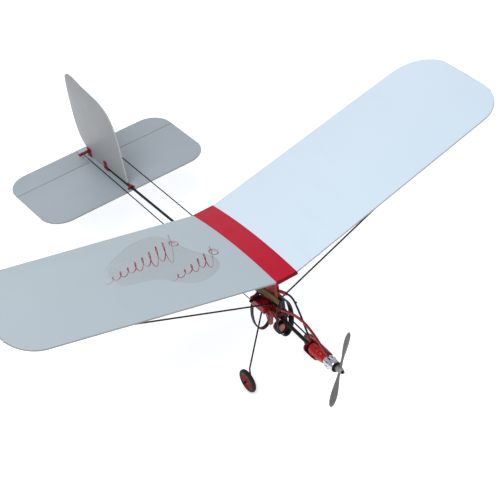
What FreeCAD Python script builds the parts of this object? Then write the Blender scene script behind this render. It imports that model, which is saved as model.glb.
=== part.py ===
"""Small high-wing model aeroplane: foam wing and tail, carbon boom, red fittings, motor, propeller.

Frame: millimetres, +Z up, nose towards -Y, port wing towards +X.
The origin is on the leading edge of the wing, in the middle of the span.
"""
import FreeCAD, Part
import math
import os

from FreeCAD import Vector as V

# ---- wing ----
CHORD = 130.0
TIP_CHORD = 118.5
HALF_SPAN = 251.0
STRIP_HALF = 10.8
DIHEDRAL = 14.3
CAMBER = 4.6
FOAM = 2.2
TIP_LE_RADIUS = 28.0
TIP_TE_RADIUS = 38.0

# ---- boom and tail ----
BOOM_Z = -47.4
BOOM_R = 1.3
BOOM_FRONT = 9.0
BOOM_REAR = 311.0
STAB_TOP = BOOM_Z - BOOM_R
STAB_T = 1.8
STAB_LE = 265.4
STAB_TE = 364.0
STAB_HALF = 91.2
STAB_R = 23.0
HINGE_Y = 336.3
HINGE_GAP = 0.6
TONGUE_HALF = 8.0
HINGE_Z = STAB_TOP - STAB_T / 2
RUDDER_Y = 314.0
FIN_T = 1.8
HORN_Z = -43.0
RUDDER_HORN_X = 9.6
RUDDER_HORN_Y = 346.5
ELEVATOR_HORN_X = (13.6, 14.8)
ROD_Z = -41.2
ROD_R = 0.4

# ---- pylon and bands ----
PYLON_HALF = 1.2
PYLON_LOW = -46.4
POST_Y = 17.2
POST_DEPTH = 4.3
BAND_REAR = 54.0
BAND_SECTION = (1.15, 1.3)
STRUT_ANCHOR = (178.0, 12.0)
STRUT_R = 0.75

# ---- pod ----
SERVO_SIZE = (8.4, 21.0, 8.2)
SERVO_X = 2.9
SERVO_Y = 28.0
SERVO_TOP = -45.5
ARM_Y = 40.0
ARM_TOP = -42.1
ARM_T = 1.2
RUDDER_SHAFT_X = -7.0
RUDDER_ARM = 8.5
ELEVATOR_SHAFT_X = 6.8
ELEVATOR_ARM = 6.0
SERVO_SHAFT_R = 1.2
HOOP_FRONT_Y = 11.6
HOOP_REAR_Y = 49.4
CELL_X = -3.0
CELL_FRONT = 15.0
CELL_REAR = 21.5
CELL_Z = -65.6
CELL_R = 5.2
HOOP_DEPTH = 6.5
HOOP_THIN = 1.0
SADDLE_DEPTH = 4.0
RECEIVER = ((-5.6, 5.4), (16.0, 27.6), (-54.2, -49.4))
CONTROLLER = ((2.7, 6.6), (18.6, 27.6), (-66.0, -55.6))
SCREW_YZ = (38.0, -65.0)

# ---- nose ----
MOTOR_Z = -62.5
CAP_REAR = -26.0
SLEEVE_REAR = -27.0
SLEEVE_FRONT = -48.6
SLEEVE_R = 5.6
SLEEVE_BORE = 4.6
CAN_FRONT = -60.6
CAN_R = 5.8
SHAFT_R = 0.75
STICK_REAR = (0, 27.0, -56.5)
STICK_R = 1.75
LEAD_OFFSETS = ((1.9, 1.4), (0.7, 2.3))
LEAD_R = 0.45
CHEEK_REAR = -16.5
CRADLE_REAR = -23.0
CRADLE_BELLY = -34.0
CRADLE_FRONT = -48.0
ARCH_X = -2.5
ARCH_W = 1.9
BOW_X = 1.2
HUB_REAR = -61.7
HUB_STEP = -63.6
HUB_FRONT = -69.4
PROP_Y = -66.0
PROP_R = 37.0
PROP_TURN = 20.8

# ---- landing gear ----
GEAR_WIRE_R = 0.75
GEAR_Y = 38.0
GEAR_Z = -58.6
WHEEL = (36.0, 31.5, -119.4)
WHEEL_R = 11.5
TYRE_W = 4.4
RIM_R = 8.4

RUN_FIT = 0.05
X = V(1, 0, 0)
Y = V(0, 1, 0)
Z = V(0, 0, 1)
nodes = {}


def box(x, y, z):
    """Box between the low and high values of each axis."""
    return Part.makeBox(x[1] - x[0], y[1] - y[0], z[1] - z[0], V(x[0], y[0], z[0]))


def rod(start, end, radius):
    """Straight round rod between two points."""
    start = V(*start)
    run = V(*end) - start
    return Part.makeCylinder(radius, run.Length, start, run)


def bent_rod(points, radius, bend):
    """Round rod along straight runs that are joined by tangent arcs."""
    points = [V(*p) for p in points]
    edges = []
    at = points[0]
    for before, corner, after in zip(points, points[1:], points[2:]):
        into = (corner - before).normalize()
        out = (after - corner).normalize()
        setback = bend * math.tan(into.getAngle(out) / 2)
        arc_start = corner - into * setback
        arc_end = corner + out * setback
        middle = (out - into).normalize()
        depth = bend / math.cos(into.getAngle(out) / 2) - bend
        edges.append(Part.LineSegment(at, arc_start).toShape())
        edges.append(Part.Arc(arc_start, corner + middle * depth, arc_end).toShape())
        at = arc_end
    edges.append(Part.LineSegment(at, points[-1]).toShape())
    section = Part.Wire(Part.makeCircle(radius, points[0], points[1] - points[0]))
    return Part.Wire(edges).makePipeShell([section], True, False)


def plate_yz(outline, x_low, x_high):
    """Flat plate from a straight-sided outline of (y, z) points."""
    wire = Part.makePolygon([V(x_low, y, z) for y, z in outline + outline[:1]])
    return Part.Face(wire).extrude(X * (x_high - x_low))


def smooth_plate_yz(curved, straight, x_low, x_high):
    """Flat plate whose outline is one smooth curve closed by straight sides, all in (y, z)."""
    points = [V(x_low, y, z) for y, z in curved]
    spline = Part.BSplineCurve()
    spline.interpolate(points)
    corners = [points[-1]] + [V(x_low, y, z) for y, z in straight] + [points[0]]
    wire = Part.Wire([spline.toShape()] + [Part.makePolygon(corners)])
    return Part.Face(Part.Wire(Part.sortEdges(wire.Edges)[0])).extrude(X * (x_high - x_low))


def rounded_xy(corners, radii, z_low, z_high):
    """Plate with a rounded outline in X and Y. Each corner has its own radius; 0 keeps it sharp."""
    corners = [V(x, y, z_low) for x, y in corners]
    edges = []
    ends = []
    for i, corner in enumerate(corners):
        into = (corner - corners[i - 1]).normalize()
        out = (corners[(i + 1) % len(corners)] - corner).normalize()
        turn = into.getAngle(out)
        setback = radii[i] * math.tan(turn / 2)
        first = corner - into * setback
        last = corner + out * setback
        if radii[i]:
            depth = radii[i] / math.cos(turn / 2) - radii[i]
            inward = (out - into).normalize()
            edges.append(Part.Arc(first, corner + inward * depth, last).toShape())
        ends.append((first, last))
    for i in range(len(corners)):
        edges.append(Part.LineSegment(ends[i - 1][1], ends[i][0]).toShape())
    wire = Part.Wire(Part.sortEdges(edges)[0])
    return Part.Face(wire).extrude(Z * (z_high - z_low))


def arched_slab(x, y, skin):
    """Part of the cambered wing slab; skin is how far it stands proud of the foam on each side."""
    radius = (CHORD * CHORD / 4 + CAMBER * CAMBER) / (2 * CAMBER)
    centre = V(x[0], CHORD / 2, CAMBER - radius)
    outer = Part.makeCylinder(radius + skin, x[1] - x[0], centre, X)
    inner = Part.makeCylinder(radius - FOAM - skin, x[1] - x[0], centre, X)
    return outer.cut(inner).common(box(x, y, (-20, 20)))


def arch_z(y):
    """Height of the wing's upper surface over a level chord line."""
    return CAMBER * 4 * (y / CHORD) * (1 - y / CHORD)


def mirrored(shape):
    return shape.mirror(V(0, 0, 0), X)


def make_wing():
    length = (HALF_SPAN - STRIP_HALF) / math.cos(math.radians(DIHEDRAL))
    outline = [(-1, 0), (length, 0), (length, TIP_CHORD), (-1, CHORD)]
    radii = [0, TIP_LE_RADIUS, TIP_TE_RADIUS, 0]
    planform = rounded_xy(outline, radii, -20, 20)
    port = arched_slab((-1, length), (-5, CHORD + 5), 0).common(planform)
    port.translate(X * STRIP_HALF)
    port.rotate(V(STRIP_HALF, 0, 0), Y, -DIHEDRAL)
    port = port.cut(box((-20, STRIP_HALF), (-20, 150), (-20, 20)))
    nodes["wing_panel_port"] = port
    nodes["wing_panel_starboard"] = mirrored(port)
    strip = arched_slab((-STRIP_HALF, STRIP_HALF), (-0.5, CHORD + 0.5), 0.3)
    lip = rod((-STRIP_HALF, -0.2, -1.1), (STRIP_HALF, -0.2, -1.1), 1.6)
    nodes["wing_centre_strip"] = strip.fuse(lip).removeSplitter()


def make_pylon():
    behind_post = POST_Y + POST_DEPTH
    frame = plate_yz([(POST_Y, 8), (104, 8), (86, PYLON_LOW), (POST_Y, PYLON_LOW)],
                     -PYLON_HALF, PYLON_HALF)
    window = plate_yz([(behind_post, -9), (93, -9), (86, -24), (behind_post, -24)],
                      -PYLON_HALF, PYLON_HALF)
    lower = plate_yz([(behind_post, -28.5), (30, -35.5), (behind_post, -35.5)],
                     -PYLON_HALF, PYLON_HALF)
    band_slot = box((-2, 2), (BAND_REAR - 0.1, BAND_REAR + 4.5), (-45.6, -36.6))
    upper_space = arched_slab((-5, 5), (-5, 135), 0.3)
    frame = frame.cut(window).cut(lower).cut(band_slot).cut(upper_space)
    frame = max(frame.Solids, key=lambda s: s.Volume)
    for y in (POST_Y, 76.0):
        frame = frame.fuse(rod((0, y, BOOM_Z), (0, y + 9, BOOM_Z), BOOM_R + 1.1))
    frame = frame.cut(rod((0, 0, BOOM_Z), (0, 120, BOOM_Z), BOOM_R))
    nodes["wing_pylon"] = frame.removeSplitter()


def make_struts():
    anchor_x, anchor_y = STRUT_ANCHOR
    under = (anchor_x - STRIP_HALF) * math.tan(math.radians(DIHEDRAL)) + arch_z(anchor_y) - FOAM
    foot = rounded_xy([(-3, -4), (6, -4), (6, 4), (-3, 4)], [2, 2, 2, 2], 0, 0.8)
    foot = foot.fuse(rod((1.5, 0, 0.2), (1.5, 0, -2.4), 1.1))
    foot.rotate(V(0, 0, 0), Y, -DIHEDRAL)
    foot.translate(V(anchor_x, anchor_y, under - 1.45))
    block = box((-3.4, 3.4), (POST_Y + 3.0, POST_Y + 10.0), (-44.6, -41.9)).cut(nodes["wing_pylon"])
    start = V(3.4, POST_Y + 6.8, -42.8)
    end = V(anchor_x + 2, anchor_y, under - 3.0)
    port = rod(start, end, STRUT_R).cut(foot)
    port = max(port.Solids, key=lambda s: s.Volume)
    block = block.cut(port).cut(mirrored(port))
    nodes["strut_junction"] = max(block.Solids, key=lambda s: s.Volume)
    nodes["wing_strut_port"] = port
    nodes["wing_strut_starboard"] = mirrored(port)
    nodes["strut_foot_port"] = foot
    nodes["strut_foot_starboard"] = mirrored(foot)


def make_bands():
    """Four rubber loops round the pylon's web, from the front post to the slot behind it."""
    loops = []
    wide, tall = BAND_SECTION
    half_in = PYLON_HALF + 0.15
    half_out = half_in + wide
    half_height = tall / 2
    length = BAND_REAR - POST_Y
    for front_z, rear_z in ((-35.6, -38.2), (-37.2, -40.2), (-38.8, -42.2), (-40.4, -44.1)):
        rings = []
        for half, corner in ((half_out, half_out - 0.05), (half_in, 0.2)):
            low = POST_Y - half + 1.2
            high = BAND_REAR + half - 1.2
            corners = [(-half, low), (half, low), (half, high), (-half, high)]
            rings.append(rounded_xy(corners, [corner] * 4, front_z - half_height, front_z + half_height))
        loop = rings[0].cut(rings[1])
        loop.rotate(V(0, POST_Y, front_z), X, math.degrees(math.atan2(rear_z - front_z, length)))
        loops.append(loop)
        nodes["strut_junction"] = nodes["strut_junction"].cut(loop)
    nodes["rubber_bands"] = Part.makeCompound(loops)


def make_boom():
    nodes["tail_boom"] = rod((0, BOOM_FRONT, BOOM_Z), (0, BOOM_REAR, BOOM_Z), BOOM_R)
    cap = rod((0, BOOM_FRONT - 1.2, BOOM_Z), (0, BOOM_FRONT + 5, BOOM_Z), BOOM_R + 0.7)
    nodes["boom_front_cap"] = cap.cut(nodes["tail_boom"])


def make_stabiliser():
    corners = [(-STAB_HALF, STAB_LE), (STAB_HALF, STAB_LE), (STAB_HALF, STAB_TE), (-STAB_HALF, STAB_TE)]
    whole = rounded_xy(corners, [STAB_R] * 4, STAB_TOP - STAB_T, STAB_TOP)
    front_edge = HINGE_Y - HINGE_GAP / 2
    rear_edge = HINGE_Y + HINGE_GAP / 2
    side = (TONGUE_HALF + 0.4, STAB_HALF + 1)
    gap = box((TONGUE_HALF, STAB_HALF + 1), (front_edge, STAB_TE + 1), (-60, -40))
    stab = whole.cut(gap).cut(mirrored(gap))
    port = whole.common(box(side, (rear_edge, STAB_TE + 1), (-60, -40)))
    wire_x = TONGUE_HALF + 4.0
    path = [(-wire_x, HINGE_Y + 11, HINGE_Z), (-wire_x, HINGE_Y, HINGE_Z),
            (wire_x, HINGE_Y, HINGE_Z), (wire_x, HINGE_Y + 11, HINGE_Z)]
    joiner = bent_rod(path, 0.4, 1.2)
    tunnel = rod((-wire_x - 1.5, HINGE_Y, HINGE_Z), (wire_x + 1.5, HINGE_Y, HINGE_Z), 0.4 + RUN_FIT)
    nodes["stabiliser"] = stab.cut(tunnel)
    nodes["elevator_joiner"] = joiner
    nodes["elevator_port"] = port.cut(joiner)
    nodes["elevator_starboard"] = mirrored(nodes["elevator_port"])
    horn = plate_yz([(HINGE_Y + 1.4, STAB_TOP), (HINGE_Y + 8.5, STAB_TOP), (HINGE_Y + 1.6, ROD_Z + 1.6),
                     (HINGE_Y - 1.8, ROD_Z + 1.6), (HINGE_Y - 1.8, ROD_Z - 1.6)], *ELEVATOR_HORN_X)
    pad = box((11.6, 16.6), (HINGE_Y + 1.4, HINGE_Y + 8.5), (STAB_TOP, STAB_TOP + 0.7))
    hole = rod((10, HINGE_Y, ROD_Z), (20, HINGE_Y, ROD_Z), 1.0)
    nodes["elevator_horn"] = horn.fuse(pad).cut(hole).removeSplitter()
    arch = rod((0, 267, BOOM_Z), (0, 269.6, BOOM_Z), BOOM_R + 1.2)
    foot = box((-3.6, 3.6), (267, 269.6), (STAB_TOP, STAB_TOP + 1.0))
    below = box((-9, 9), (260, 275), (-60, STAB_TOP))
    below = below.fuse(box((-BOOM_R, BOOM_R), (260, 275), (STAB_TOP - 1, BOOM_Z)))
    nodes["stab_clip"] = arch.fuse(foot).cut(below).cut(nodes["tail_boom"]).removeSplitter()


def make_fin():
    curved = [(273.4, -43.0), (276.0, -25.0), (279.0, 0.0), (287.5, 22.0), (305.0, 33.0), (335.0, 37.5),
              (356.0, 41.3), (366.5, 38.5), (369.0, 27.0), (368.4, 1.6), (365.2, -20.5), (358.7, -34.5),
              (348.5, -43.0)]
    fin_low = BOOM_Z + BOOM_R + 0.3
    straight = [(346.0, STAB_TOP + 0.3), (318.8, STAB_TOP + 0.3), (318.8, fin_low), (273.9, fin_low)]
    fin = smooth_plate_yz(curved, straight, -FIN_T / 2, FIN_T / 2)
    clamp = box((-2.1, 2.1), (RUDDER_Y - 2.2, RUDDER_Y + 2.2), (fin_low, -39.6)).cut(fin)
    clamp = clamp.fuse(box((-2.1, 2.1), (RUDDER_Y - 2.2, RUDDER_Y + 2.2), (fin_low, fin_low + 1.0)))
    pin = rod((0, RUDDER_Y, fin_low + 1.0), (0, RUDDER_Y, STAB_TOP + 0.4), 0.4)
    fin = fin.cut(clamp)
    plug = box((-2.0, 2.0), (RUDDER_Y - 4.6, RUDDER_Y + 3.0), (STAB_TOP, fin_low - 0.3))
    plug = plug.cut(nodes["tail_boom"])
    plug = plug.cut(box((-BOOM_R, BOOM_R), (RUDDER_Y - 5, BOOM_REAR), (STAB_TOP - 1, BOOM_Z)))
    plug = plug.cut(rod((0, RUDDER_Y, -40), (0, RUDDER_Y, STAB_TOP + 0.2), 0.4 + RUN_FIT))
    bar_y = RUDDER_HORN_Y
    bar = box((-13.0, 13.0), (bar_y - 1.6, bar_y + 1.6), (HORN_Z - 0.8, HORN_Z + 0.7))
    grip = box((-1.9, 1.9), (bar_y - 4.4, bar_y + 2.2), (STAB_TOP + 0.3, -39.5))
    for side in (-1, 1):
        x = RUDDER_HORN_X * side
        slot = rounded_xy([(x - 0.75, bar_y - 1.15), (x + 0.75, bar_y - 1.15), (x + 0.75, bar_y + 1.15),
                           (x - 0.75, bar_y + 1.15)], [0.7] * 4, -50, -40)
        bar = bar.cut(slot)
    horn = bar.fuse(grip).cut(fin).removeSplitter()
    nodes["fin"] = fin
    nodes["fin_clamp"] = clamp.cut(pin).removeSplitter()
    nodes["rudder_pivot_pin"] = pin
    nodes["boom_end_plug"] = plug
    nodes["rudder_horn"] = horn


def make_controls():
    top = SERVO_TOP
    for name, shaft_x, reach, side in (("rudder", RUDDER_SHAFT_X, RUDDER_ARM, -1),
                                       ("elevator", ELEVATOR_SHAFT_X, ELEVATOR_ARM, 1)):
        inner = SERVO_X * side
        outer = (SERVO_X + SERVO_SIZE[0]) * side
        case = box((min(inner, outer), max(inner, outer)), (SERVO_Y, SERVO_Y + SERVO_SIZE[1]),
                   (top - SERVO_SIZE[2], top))
        case = case.makeFillet(0.9, case.Edges)
        case = case.cut(rod((shaft_x, ARM_Y, top - 2.5), (shaft_x, ARM_Y, top + 1), SERVO_SHAFT_R + RUN_FIT))
        tip_x = shaft_x + reach * side
        arm = rounded_xy([(-2.2, -1.9), (reach + 1.6, -1.5), (reach + 1.6, 1.5), (-2.2, 1.9)],
                         [1.7, 1.3, 1.3, 1.7], ARM_TOP - ARM_T, ARM_TOP)
        if side < 0:
            arm = mirrored(arm)
        arm.translate(V(shaft_x, ARM_Y, 0))
        arm = arm.fuse(rod((shaft_x, ARM_Y, top - 2.2), (shaft_x, ARM_Y, ARM_TOP), SERVO_SHAFT_R))
        arm = arm.cut(rod((tip_x, ARM_Y, -50), (tip_x, ARM_Y, -40), ROD_R + RUN_FIT))
        nodes[name + "_servo_case"] = case
        nodes[name + "_servo_arm"] = arm.removeSplitter()
    front = (RUDDER_SHAFT_X - RUDDER_ARM, ARM_Y)
    rear = (-RUDDER_HORN_X, RUDDER_HORN_Y)
    path = [(front[0], front[1], ARM_TOP - ARM_T - 0.5), (front[0], front[1], ROD_Z),
            (rear[0], rear[1], ROD_Z), (rear[0], rear[1], HORN_Z - 1.5)]
    nodes["rudder_pushrod"] = bent_rod(path, ROD_R, 0.5)
    front = (ELEVATOR_SHAFT_X + ELEVATOR_ARM, ARM_Y)
    path = [(front[0], front[1], ARM_TOP - ARM_T - 0.5), (front[0], front[1], ROD_Z),
            (ELEVATOR_HORN_X[1] + 1.6, HINGE_Y, ROD_Z), (ELEVATOR_HORN_X[0] - 1.0, HINGE_Y, ROD_Z)]
    nodes["elevator_pushrod"] = bent_rod(path, ROD_R, 0.5)
    for name, size in (("receiver_case", RECEIVER), ("speed_controller", CONTROLLER)):
        case = box(*size)
        nodes[name] = case.makeFillet(0.6, case.Edges).cut(nodes["wing_pylon"])


def oval_hoop(y, depth, half_width, half_height, centre_z, thickness):
    """Upright oval ring across the pod."""
    def oval(a, b):
        wide = b > a
        big, small = max(a, b), min(a, b)
        edge = Part.Ellipse(V(0, 0, 0), big, small).toShape()
        if wide:
            edge.rotate(V(0, 0, 0), Z, 90)
        edge.rotate(V(0, 0, 0), X, 90)
        edge.translate(V(0, y, centre_z))
        return Part.Face(Part.Wire(edge)).extrude(Y * depth)
    return oval(half_width, half_height).cut(oval(half_width - thickness, half_height - thickness))


def make_pod():
    front = oval_hoop(HOOP_FRONT_Y, HOOP_DEPTH, 9.2, 20.5, -53.8, 1.3)
    front = front.cut(box((-12, -1.6), (HOOP_FRONT_Y + HOOP_THIN, 20), (-80, -30)))
    saddle = box((-1.6, 1.6), (HOOP_FRONT_Y, HOOP_FRONT_Y + SADDLE_DEPTH), (BOOM_Z, -34.2))
    saddle = saddle.common(oval_hoop(HOOP_FRONT_Y, SADDLE_DEPTH, 9.2, 20.5, -53.8, 9.1))
    front = front.fuse(saddle).cut(nodes["boom_front_cap"]).cut(nodes["tail_boom"])
    front = front.cut(nodes["wing_pylon"]).cut(nodes["rubber_bands"])
    nodes["pod_hoop_front"] = max(front.Solids, key=lambda s: s.Volume)
    rear = oval_hoop(HOOP_REAR_Y, 3.6, 10.7, 21.2, -69.4, 1.3).cut(nodes["tail_boom"])
    nodes["pod_hoop_rear"] = max(rear.Solids, key=lambda s: s.Volume)
    nodes["battery_cell"] = rod((CELL_X, CELL_FRONT, CELL_Z), (CELL_X, CELL_REAR, CELL_Z), CELL_R)
    cap = rod((CELL_X, CELL_FRONT - 1.0, CELL_Z), (CELL_X, CELL_FRONT + 3.0, CELL_Z), CELL_R + 0.5)
    cap = cap.cut(rod((CELL_X, 0, CELL_Z), (CELL_X, CELL_FRONT, CELL_Z), CELL_R - 0.7))
    cap = cap.cut(nodes["battery_cell"]).cut(nodes["pod_hoop_front"])
    nodes["battery_cap"] = max(cap.Solids, key=lambda s: s.Volume)
    bracket = plate_yz([(31.5, STAB_TOP), (45.5, STAB_TOP), (44.5, -60), (39.5, -77), (36.5, -77),
                        (32.0, -60)], -1.5, 1.5)
    bracket = bracket.fuse(rod((0, 31.5, BOOM_Z), (0, 45.5, BOOM_Z), BOOM_R + 0.9))
    bracket = bracket.cut(nodes["tail_boom"]).cut(nodes["wing_pylon"])
    y, z = SCREW_YZ
    screw = rod((-2.6, y, z), (-1.5, y, z), 1.7).fuse(rod((-1.5, y, z), (2.2, y, z), 0.7))
    screw = screw.cut(box((-2.7, -2.1), (y - 2, y + 2), (z - 0.25, z + 0.25)))
    bracket = bracket.cut(screw)
    axle_x, axle_y, axle_z = WHEEL
    leg_x = axle_x - 3.5
    half = [(axle_x + 5.0, axle_y, axle_z), (leg_x, axle_y, axle_z), (leg_x, axle_y - 0.6, axle_z + 13.0),
            (7.6, GEAR_Y, GEAR_Z)]
    path = [(-x, y, z) for x, y, z in half] + half[::-1]
    wire = bent_rod(path, GEAR_WIRE_R, 1.3)
    nodes["gear_bracket"] = bracket.cut(wire).removeSplitter()
    nodes["bracket_screw"] = screw
    nodes["landing_gear_wire"] = wire


def ring_of(profile, centre):
    """Solid of revolution about the line through centre along X; the profile is (x, radius) points."""
    cx, cy, cz = centre
    wire = Part.makePolygon([V(cx + x, cy, cz + r) for x, r in profile + profile[:1]])
    return Part.Face(wire).revolve(V(cx, cy, cz), X, 360)


def make_wheels():
    half = TYRE_W / 2
    tyre = ring_of([(-half, RIM_R), (-half, WHEEL_R - 1.2), (-half + 0.9, WHEEL_R - 0.2),
                    (-0.6, WHEEL_R), (0.6, WHEEL_R), (half - 0.9, WHEEL_R - 0.2),
                    (half, WHEEL_R - 1.2), (half, RIM_R)], WHEEL)
    bore = GEAR_WIRE_R + RUN_FIT
    hub = ring_of([(-1.8, RIM_R), (-1.8, RIM_R - 1.0), (-0.9, RIM_R - 1.2), (0.2, 2.2), (-1.9, 2.0),
                   (-1.9, bore), (2.3, bore), (2.3, 1.9), (1.3, 2.4), (0.2, RIM_R - 1.2),
                   (1.8, RIM_R - 1.0), (1.8, RIM_R)], WHEEL)
    nodes["tyre_port"] = tyre
    nodes["tyre_starboard"] = mirrored(tyre)
    nodes["wheel_hub_port"] = hub
    nodes["wheel_hub_starboard"] = mirrored(hub)
    x, y, z = WHEEL
    outer = rod((x + 2.6, y, z), (x + 4.4, y, z), 1.5).cut(rod((x + 2, y, z), (x + 5, y, z), GEAR_WIRE_R))
    nodes["wheel_collars"] = Part.makeCompound([outer, mirrored(outer)])


def make_nose():
    stick = rod(STICK_REAR, (0, SLEEVE_REAR, MOTOR_Z), STICK_R)
    leads = []
    for x, drop in LEAD_OFFSETS:
        start = (x, STICK_REAR[1] + 0.4, STICK_REAR[2] - drop)
        leads.append(rod(start, (x, SLEEVE_REAR + 0.1, MOTOR_Z - drop), LEAD_R))
    nodes["motor_lead_red"] = leads[0]
    nodes["motor_lead_black"] = leads[1]
    rear_y, belly_y, front_y = CRADLE_REAR, CRADLE_BELLY, CRADLE_FRONT
    skins = []
    for inset, past in ((0.0, 0.0), (0.9, 0.2)):
        rear = V(0, CHEEK_REAR + past, MOTOR_Z)
        belly = V(0, belly_y, MOTOR_Z)
        tail = Part.makeCone(6.6 - inset, 7.4 - inset, rear.y - belly_y, rear, V(0, -1, 0))
        nose = Part.makeCone(7.4 - inset, 6.5 - inset, belly_y - front_y + past, belly, V(0, -1, 0))
        skins.append(tail.fuse(nose))
    top = MOTOR_Z + 14
    gaps = [box((-12, 2.2), (front_y - 1, CHEEK_REAR + 1), (MOTOR_Z + 3.6, top)),
            box((-12, -1.0), (front_y - 1, belly_y - 3.0), (MOTOR_Z - 14, top)),
            box((-12, -1.0), (belly_y - 4.0, rear_y - 1.7), (MOTOR_Z - 2.0, top)),
            box((-12, 4.0), (rear_y, CHEEK_REAR + 1), (MOTOR_Z - 14, MOTOR_Z + 3.6)),
            box((0, 12), (rear_y, CHEEK_REAR + 1), (MOTOR_Z - 14, MOTOR_Z - 1.0))]
    rib = box((-1.2, 1.2), (SLEEVE_FRONT + 1.0, rear_y - 1.0), (MOTOR_Z - 7.0, MOTOR_Z)).common(skins[0])
    back = rod((0, rear_y, MOTOR_Z), (0, rear_y - 1.6, MOTOR_Z), 6.4).cut(gaps[0])
    cradle = skins[0].cut(skins[1])
    for gap in gaps:
        cradle = cradle.cut(gap)
    cradle = cradle.fuse([rib, back])
    sleeve = rod((0, SLEEVE_REAR, MOTOR_Z), (0, SLEEVE_FRONT, MOTOR_Z), SLEEVE_R)
    end_cap = rod((0, CAP_REAR, MOTOR_Z), (0, SLEEVE_REAR, MOTOR_Z), SLEEVE_R - 0.8)
    bore = rod((0, SLEEVE_REAR - 1.5, MOTOR_Z), (0, SLEEVE_FRONT, MOTOR_Z), SLEEVE_BORE)
    sleeve = sleeve.fuse(end_cap).cut(bore)
    step_y = SLEEVE_FRONT - 0.1
    can = rod((0, SLEEVE_REAR - 1.6, MOTOR_Z), (0, step_y, MOTOR_Z), SLEEVE_BORE - 0.1)
    can = can.fuse(rod((0, step_y, MOTOR_Z), (0, CAN_FRONT, MOTOR_Z), CAN_R))
    can = can.cut(rod((0, step_y - 0.9, MOTOR_Z), (0, CAN_FRONT - 1, MOTOR_Z), SHAFT_R + RUN_FIT))
    plate = rod((0, CAN_FRONT, MOTOR_Z), (0, CAN_FRONT - 0.9, MOTOR_Z), CAN_R - 0.9)
    plate = plate.cut(rod((0, CAN_FRONT + 1, MOTOR_Z), (0, CAN_FRONT - 2, MOTOR_Z), SHAFT_R + RUN_FIT))
    solid_sleeve = rod((0, CAP_REAR, MOTOR_Z), (0, SLEEVE_FRONT, MOTOR_Z), SLEEVE_R)
    parts_behind = [stick] + leads
    sleeve = sleeve.cut(Part.makeCompound(parts_behind))
    cradle = cradle.cut(solid_sleeve).cut(Part.makeCompound(parts_behind))
    nodes["motor_stick"] = stick
    nodes["motor_cradle"] = max(cradle.Solids, key=lambda s: s.Volume)
    nodes["motor_sleeve"] = max(sleeve.Solids, key=lambda s: s.Volume)
    nodes["motor_can"] = can.removeSplitter()
    nodes["motor_end_plate"] = plate


def make_nose_frame():
    line = [(POST_Y, -46.0), (3.0, -40.8), (-13.0, -37.2), (-24.0, -38.2), (-34.0, -42.4), (-43.0, -48.6),
            (-53.0, -55.2)]
    half = 0.9
    upper = []
    lower = []
    for i, (y, z) in enumerate(line):
        before = line[max(i - 1, 0)]
        after = line[min(i + 1, len(line) - 1)]
        run = math.hypot(after[0] - before[0], after[1] - before[1])
        ny = -(after[1] - before[1]) / run
        nz = (after[0] - before[0]) / run
        upper.append((y - ny * half, z - nz * half))
        lower.append((y + ny * half, z + nz * half))
    edges = []
    for side in (upper, lower):
        spline = Part.BSplineCurve()
        spline.interpolate([V(ARCH_X, y, z) for y, z in side])
        edges.append(spline.toShape())
    for i in (0, -1):
        edges.append(Part.LineSegment(V(ARCH_X, *upper[i]), V(ARCH_X, *lower[i])).toShape())
    arch = Part.Face(Part.Wire(Part.sortEdges(edges)[0])).extrude(X * ARCH_W)
    arch = arch.cut(Part.makeCompound([nodes["motor_can"], nodes["motor_sleeve"], nodes["wing_pylon"],
                                       nodes["pod_hoop_front"], nodes["strut_junction"],
                                       nodes["tail_boom"], nodes["boom_front_cap"]]))
    nodes["nose_arch"] = max(arch.Solids, key=lambda s: s.Volume)
    path = [(BOW_X, y, z) for y, z in ((POST_Y, -27.5), (-2.5, -20.2), (-12.5, -36.0), (-21.5, -55.0))]
    bow = bent_rod(path, 0.9, 9.0)
    keep = Part.makeCompound([nodes["wing_pylon"], nodes["motor_cradle"], nodes["motor_stick"],
                              nodes["rubber_bands"]])
    bow = bow.cut(keep)
    nodes["front_bow"] = max(bow.Solids, key=lambda s: s.Volume)
    sleeve = rod((BOW_X, 16.6, -26.7), (BOW_X, 6.0, -23.1), 1.6)
    sleeve = sleeve.cut(nodes["front_bow"]).cut(nodes["wing_pylon"])
    nodes["bow_sleeve"] = max(sleeve.Solids, key=lambda s: s.Volume)
    tie = rod((BOW_X, -20.6, -53.1), (BOW_X, -23.4, -59.0), 1.5)
    tie = tie.cut(Part.makeCompound([nodes["front_bow"], nodes["motor_cradle"], nodes["motor_stick"],
                                     nodes["motor_lead_black"], nodes["motor_lead_red"]]))
    nodes["bow_foot"] = max(tie.Solids, key=lambda s: s.Volume)


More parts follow.
